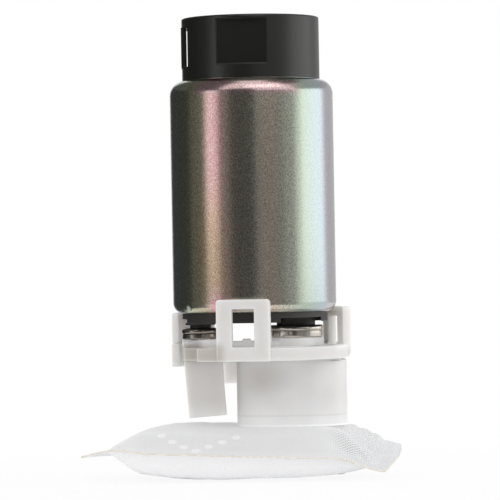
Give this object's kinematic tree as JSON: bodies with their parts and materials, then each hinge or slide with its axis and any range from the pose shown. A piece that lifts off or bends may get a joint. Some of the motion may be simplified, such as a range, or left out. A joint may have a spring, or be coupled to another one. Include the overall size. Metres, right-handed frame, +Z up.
{
  "type": "in-tank fuel pump",
  "caption": "Electric in-tank fuel pump with a steel tube housing, a recessed black outlet cover, a white clip-on strainer frame and a flat filter sock.",
  "frame": {"origin": "on the pump's axis, in the plane that the sock lies on", "axes": "+Z up along the pump's axis to the outlet, +X towards the inlet nipple, -Y to the front loop"},
  "size_m": [0.075, 0.0439, 0.1071],
  "materials": {
    "zinc_plated_steel": "satin, zinc plated, passed through a rainbow chromate",
    "dark_resin": "matt moulded resin",
    "impeller_resin": "matt moulded resin",
    "bronze": "sintered, oiled",
    "hard_steel": "ground",
    "core_steel": "stamped sheets",
    "copper_wire": "enamelled",
    "carbon": "pressed carbon",
    "ferrite": "sintered",
    "spring_steel": "drawn",
    "brown_resin": "matt moulded resin",
    "black_plastic": "matt, finely eroded",
    "tinned_brass": "tinned",
    "seal_rubber": "smooth",
    "polished_steel": "polished",
    "white_nylon": "milky, lets some light through",
    "filter_cloth": "fine woven nylon"
  },
  "bodies": {
    "pump_body": {"housing": "zinc_plated_steel", "inlet_cover": "dark_resin", "pump_casing": "dark_resin", "casing_bush": "bronze", "thrust_pin": "hard_steel", "magnet_1": "ferrite", "magnet_2": "ferrite", "magnet_clip_1": "spring_steel", "magnet_clip_2": "spring_steel", "brush_holder": "brown_resin", "top_bush": "bronze", "brush_spring_1": "spring_steel", "brush_spring_2": "spring_steel", "choke_1": "copper_wire", "choke_2": "copper_wire", "outlet_cover": "black_plastic", "terminal_1": "tinned_brass", "terminal_2": "tinned_brass", "outlet_seal": "seal_rubber", "check_seat": "brown_resin", "check_spring": "spring_steel", "relief_spring": "spring_steel", "relief_plug": "brown_resin", "inlet_collar": "polished_steel", "pin_collar": "polished_steel", "inlet_seal": "seal_rubber", "strainer_frame": "white_nylon", "sock": "filter_cloth", "sock_spreader": "white_nylon"},
    "rotor": {"shaft": "hard_steel", "armature_core": "core_steel", "windings": "copper_wire", "commutator": "carbon", "impeller": "impeller_resin"},
    "left_brush": {"brush_2": "carbon"},
    "right_brush": {"brush_1": "carbon"},
    "outlet_valve": {"check_valve": "brown_resin"},
    "relief_valve": {"relief_ball": "hard_steel"}
  },
  "joints": [
    {"name": "rotor_spin", "type": "hinge", "parent": "pump_body", "child": "rotor", "pos_m": [0, 0, 0.066], "axis": [0, 0, 1], "continuous": true},
    {"name": "right_brush_slide", "type": "slide", "parent": "pump_body", "child": "right_brush", "axis": [0, 0, 1], "range_m": [0, 0.0015], "stiffness_N_per_m": 20, "springref_m": -0.004, "deforming": ["brush_spring_1"]},
    {"name": "left_brush_slide", "type": "slide", "parent": "pump_body", "child": "left_brush", "axis": [0, 0, 1], "range_m": [0, 0.0015], "stiffness_N_per_m": 20, "springref_m": -0.004, "deforming": ["brush_spring_2"]},
    {"name": "outlet_valve_lift", "type": "slide", "parent": "pump_body", "child": "outlet_valve", "axis": [0, 0, 1], "range_m": [0, 0.0015], "stiffness_N_per_m": 20, "springref_m": -0.002, "deforming": ["check_spring"]},
    {"name": "relief_valve_lift", "type": "slide", "parent": "pump_body", "child": "relief_valve", "axis": [0, 0, 1], "range_m": [0, 0.0008], "stiffness_N_per_m": 20, "springref_m": -0.004, "deforming": ["relief_spring"]}
  ]
}
